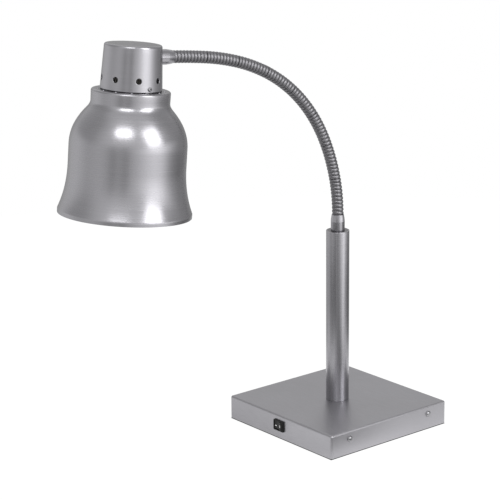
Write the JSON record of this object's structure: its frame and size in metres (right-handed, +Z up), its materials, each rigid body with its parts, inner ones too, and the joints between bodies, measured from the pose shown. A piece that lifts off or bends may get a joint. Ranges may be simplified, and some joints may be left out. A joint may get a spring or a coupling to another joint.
{
  "type": "food warming lamp",
  "caption": "Food warming lamp: weighted square base with a rocker switch, round post, ribbed gooseneck and a spun bell shade under a vented cap, over a red reflector bulb.",
  "frame": {"origin": "centre of the base's underside, on the rubber pad", "axes": "+Z up, X and Y along the base's sides, the neck leans towards -Y, where the switch is"},
  "size_m": [0.2058, 0.5262, 0.5373],
  "materials": {
    "base_cover": "satin stainless sheet, folded",
    "base_tray": "zinc-plated sheet",
    "base_pad": "black anti-slip rubber",
    "ballast_plate": "dark primed iron",
    "screws": "bright nickel plate",
    "switch_housing": "black moulded, fine texture",
    "switch_rocker": "black moulded, polished, white marks",
    "contacts": "bright brass",
    "gland": "black nylon",
    "terminal_block": "natural nylon",
    "wire": "heat-proof silicone sleeve",
    "post_tube": "brushed along its length",
    "post_fittings": "zinc plate",
    "ferrule": "polished nickel plate",
    "neck": "bright plated ribbed strip",
    "cap": "spun, brushed round the axis",
    "shade": "spun, brushed round the axis",
    "bracket": "zinc-plated sheet",
    "lampholder": "white glazed",
    "bulb_glass": "ruby-red reflector glass",
    "bulb_stem": "clear",
    "bulb_insulator": "black glass",
    "filament": "drawn tungsten"
  },
  "bodies": {
    "base": {"base_cover": "base_cover", "base_tray": "base_tray", "base_pad": "base_pad", "ballast_plate": "ballast_plate", "switch_housing": "switch_housing", "switch_tab_1": "contacts", "switch_tab_2": "contacts", "cable_gland": "gland", "gland_locknut": "gland", "terminal_block": "terminal_block", "earth_screw": "contacts", "switch_wire_1": "wire", "switch_wire_2": "wire", "earth_wire": "wire", "post_tube": "post_tube", "post_foot_plug": "post_fittings", "post_washer": "post_fittings", "post_nut": "post_fittings", "post_top_plug": "post_fittings", "lower_ferrule": "ferrule", "side_screw_1": "screws", "side_screw_2": "screws", "side_screw_3": "screws", "side_screw_4": "screws", "neck_link_1": "neck", "base_lead": "wire"},
    "rocker": {"switch_rocker": "switch_rocker"},
    "neck_2": {"neck_link_2": "neck", "neck_lead_2": "wire"},
    "neck_3": {"neck_link_3": "neck", "neck_lead_3": "wire"},
    "neck_4": {"neck_link_4": "neck", "neck_lead_4": "wire"},
    "neck_5": {"neck_link_5": "neck", "neck_lead_5": "wire"},
    "neck_6": {"neck_link_6": "neck", "neck_lead_6": "wire"},
    "neck_7": {"neck_link_7": "neck", "neck_lead_7": "wire"},
    "head": {"neck_link_8": "neck", "head_lead": "wire", "upper_ferrule": "ferrule", "ferrule_nut": "post_fittings", "cap": "cap", "cap_screw_1": "screws", "cap_screw_2": "screws", "cap_bracket": "bracket", "shade": "shade", "lampholder_body": "lampholder", "shade_ring": "lampholder", "lampholder_shell": "contacts", "lampholder_contact": "contacts", "bulb_envelope": "bulb_glass", "bulb_screw_base": "contacts", "bulb_insulator": "bulb_insulator", "bulb_contact": "contacts", "bulb_stem": "bulb_stem", "bulb_filament": "filament"}
  },
  "joints": [
    {"name": "rocker_switch", "type": "hinge", "parent": "base", "child": "rocker", "pos_m": [0, -0.098, 0.019], "axis": [0, 0, 1], "range_deg": [0, 20]},
    {"name": "neck_bend_1", "type": "hinge", "parent": "base", "child": "neck_2", "pos_m": [0, -0.0053, 0.32906], "axis": [1, 0, 0], "range_deg": [-8, 8]},
    {"name": "neck_swing_2", "type": "hinge", "parent": "neck_2", "child": "neck_3", "pos_m": [0, -0.02034, 0.37536], "axis": [0, 0.9171, 0.3987], "range_deg": [-8, 8]},
    {"name": "neck_bend_3", "type": "hinge", "parent": "neck_3", "child": "neck_4", "pos_m": [0, -0.04475, 0.41743], "axis": [1, 0, 0], "range_deg": [-8, 8]},
    {"name": "neck_bend_4", "type": "hinge", "parent": "neck_4", "child": "neck_5", "pos_m": [0, -0.0783, 0.45263], "axis": [1, 0, 0], "range_deg": [-8, 8]},
    {"name": "neck_swing_5", "type": "hinge", "parent": "neck_5", "child": "neck_6", "pos_m": [0, -0.11905, 0.47922], "axis": [0, 0.4501, 0.893], "range_deg": [-8, 8]},
    {"name": "neck_bend_6", "type": "hinge", "parent": "neck_6", "child": "neck_7", "pos_m": [0, -0.16434, 0.49706], "axis": [1, 0, 0], "range_deg": [-8, 8]},
    {"name": "neck_bend_7", "type": "hinge", "parent": "neck_7", "child": "head", "pos_m": [0, -0.21194, 0.50744], "axis": [1, 0, 0], "range_deg": [-8, 8]}
  ]
}
